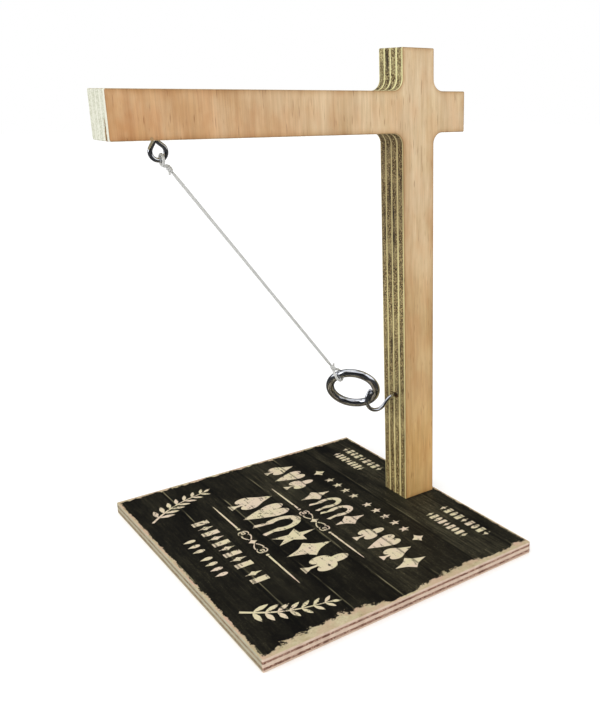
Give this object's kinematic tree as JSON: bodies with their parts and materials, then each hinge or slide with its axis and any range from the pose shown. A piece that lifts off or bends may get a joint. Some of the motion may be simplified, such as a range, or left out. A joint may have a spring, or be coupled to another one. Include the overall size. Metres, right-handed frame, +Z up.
{
  "type": "hook and ring game",
  "caption": "Tabletop hook and ring game: a plywood post and arm on a flat base, with a metal ring on a line that swings to catch on a hook in the post.",
  "frame": {"origin": "centre of the base board's underside, on the surface that the game stands on", "axes": "+Z up, the arm points to -X towards the player, and +Y runs across the arm"},
  "size_m": [0.227, 0.218, 0.308],
  "materials": {
    "plywood": "sanded plywood, bare",
    "printed_plywood": "plywood with a worn black print on its top",
    "nickel": "bright nickel plating",
    "zinc": "zinc-plated wood screws",
    "line": "translucent white braided line"
  },
  "bodies": {
    "frame": {"base_board": "printed_plywood", "gallows": "plywood", "base_screw_1": "zinc", "base_screw_2": "zinc", "screw_eye": "nickel", "screw_hook": "nickel"},
    "top_loop": {"line_top_loop": "line"},
    "line": {"line_top_knot": "line", "line": "line", "line_ring_knot": "line", "line_ring_loop": "line"},
    "ring": {"ring": "nickel"}
  },
  "joints": [
    {"name": "line_sway", "type": "hinge", "parent": "frame", "child": "top_loop", "pos_m": [-0.08091, 0, 0.24776], "axis": [1, 0, 0], "range_deg": [-70, 70]},
    {"name": "line_swing", "type": "hinge", "parent": "top_loop", "child": "line", "pos_m": [-0.08091, 0, 0.24776], "axis": [0, -1, 0], "range_deg": [-95, 5]},
    {"name": "ring_flap", "type": "hinge", "parent": "line", "child": "ring", "pos_m": [0.0257, 0.00495, 0.10502], "axis": [-0.4456, 0.7753, -0.4475], "range_deg": [-112, 112]}
  ]
}
